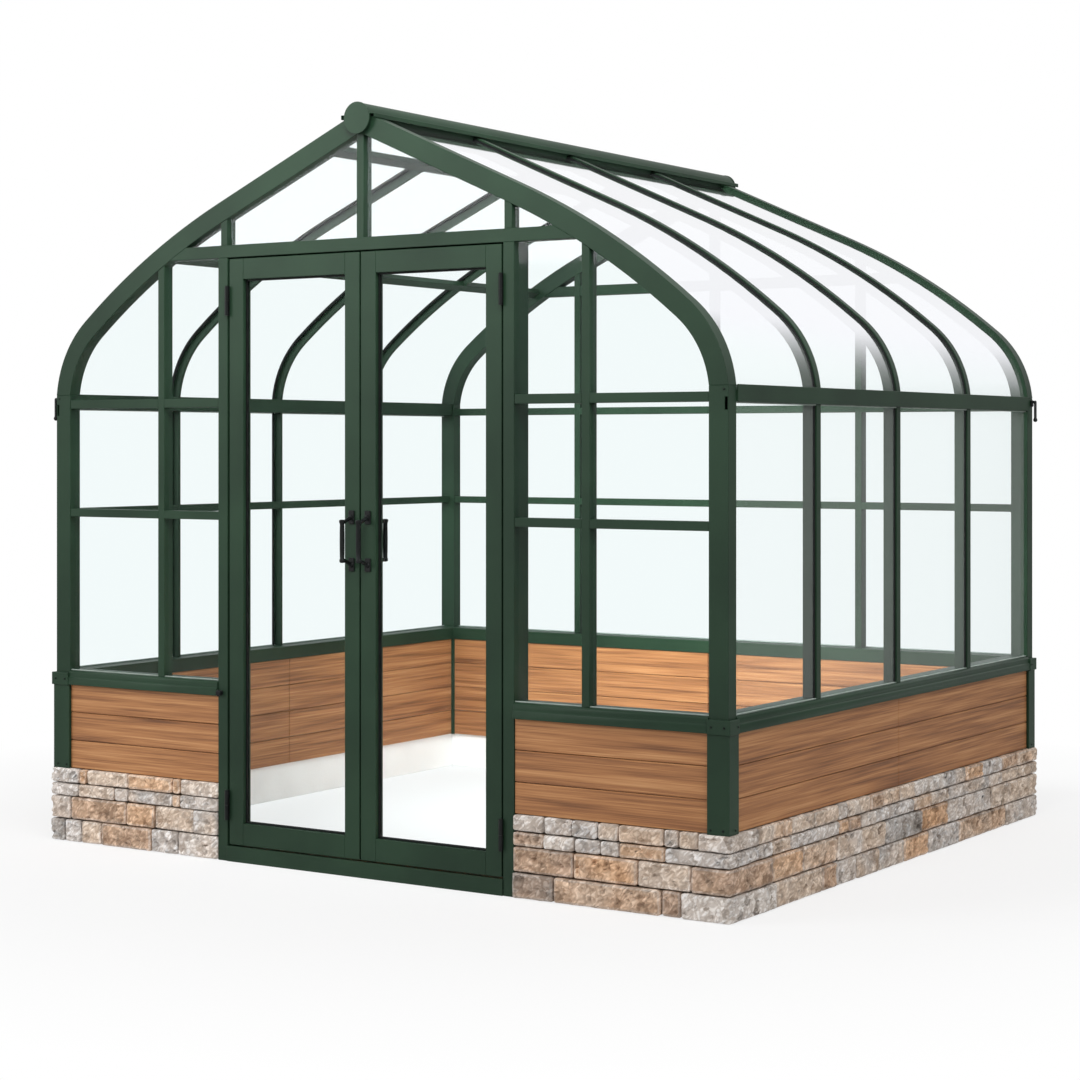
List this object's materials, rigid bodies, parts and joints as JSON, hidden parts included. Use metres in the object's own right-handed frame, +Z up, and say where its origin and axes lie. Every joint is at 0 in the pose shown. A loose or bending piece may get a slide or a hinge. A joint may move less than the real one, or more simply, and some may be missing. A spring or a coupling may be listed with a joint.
{
  "type": "greenhouse",
  "caption": "Aluminium greenhouse with curved-eave glazed roof, double doors, board knee wall and a dry-stone plinth.",
  "frame": {"origin": "on the ground at the centre of the overall box", "axes": "+X to the right seen from the doors and across the gables, +Y from the doors to the rear gable, +Z up"},
  "size_m": [2.76, 2.524, 2.516],
  "materials": {
    "green_powder_coat": "satin dark green powder coat on aluminium extrusion",
    "clear_glazing": "clear smooth glazing sheet",
    "wood_board": "brown wood-grain board, matte",
    "stone": "rock-faced tan and grey stone, rough",
    "concrete": "pale cast concrete, matte",
    "black_hardware": "satin black coated metal",
    "seal_rubber": "matte black glazing seal",
    "steel_screw": "green coated pan head"
  },
  "bodies": {
    "house": {"arch_front_left": "green_powder_coat", "arch_front_right": "green_powder_coat", "arch_rear_left": "green_powder_coat", "arch_rear_right": "green_powder_coat", "corner_collars": "green_powder_coat", "corner_trims": "green_powder_coat", "door_header": "green_powder_coat", "door_jambs": "green_powder_coat", "frame_screws": "steel_screw", "front_rails": "green_powder_coat", "front_studs": "green_powder_coat", "gable_panes_front": "clear_glazing", "gable_panes_rear": "clear_glazing", "gutter_left": "green_powder_coat", "gutter_right": "green_powder_coat", "gutter_spouts": "green_powder_coat", "hinge_plates": "black_hardware", "inner_boards_front": "wood_board", "inner_boards_rear": "wood_board", "inner_boards_sides": "wood_board", "kerb": "concrete", "knee_studs": "green_powder_coat", "left_wall_rails": "green_powder_coat", "outer_boards_front": "wood_board", "outer_boards_rear": "wood_board", "outer_boards_sides": "wood_board", "posts_front": "green_powder_coat", "posts_rear": "green_powder_coat", "rear_rails": "green_powder_coat", "rear_studs": "green_powder_coat", "ridge_discs": "green_powder_coat", "ridge_hood": "green_powder_coat", "ridge_tube": "green_powder_coat", "roof_bars_left": "green_powder_coat", "roof_bars_right": "green_powder_coat", "roof_panes_left": "clear_glazing", "roof_panes_right": "clear_glazing", "roof_purlins": "green_powder_coat", "sill_front": "green_powder_coat", "sill_rear": "green_powder_coat", "sill_sides": "green_powder_coat", "stones_front": "stone", "stones_left": "stone", "stones_rear": "stone", "stones_right": "stone", "threshold": "green_powder_coat", "wall_bars_left": "green_powder_coat", "wall_bars_right": "green_powder_coat", "wall_panes_left": "clear_glazing", "wall_panes_right": "clear_glazing"},
    "left_door": {"left_leaf_frame": "green_powder_coat", "left_leaf_handles": "black_hardware", "left_leaf_hinges": "black_hardware", "left_leaf_pane": "clear_glazing", "left_leaf_seals": "seal_rubber"},
    "right_door": {"right_leaf_frame": "green_powder_coat", "right_leaf_handles": "black_hardware", "right_leaf_hinges": "black_hardware", "right_leaf_pane": "clear_glazing", "right_leaf_seals": "seal_rubber"}
  },
  "joints": [
    {"name": "left_door_hinge", "type": "hinge", "parent": "house", "child": "left_door", "pos_m": [-0.5575, -1.212, 1.04], "axis": [0, 0, -1], "range_deg": [0, 110]},
    {"name": "right_door_hinge", "type": "hinge", "parent": "house", "child": "right_door", "pos_m": [0.5575, -1.212, 1.04], "axis": [0, 0, 1], "range_deg": [0, 110]}
  ]
}
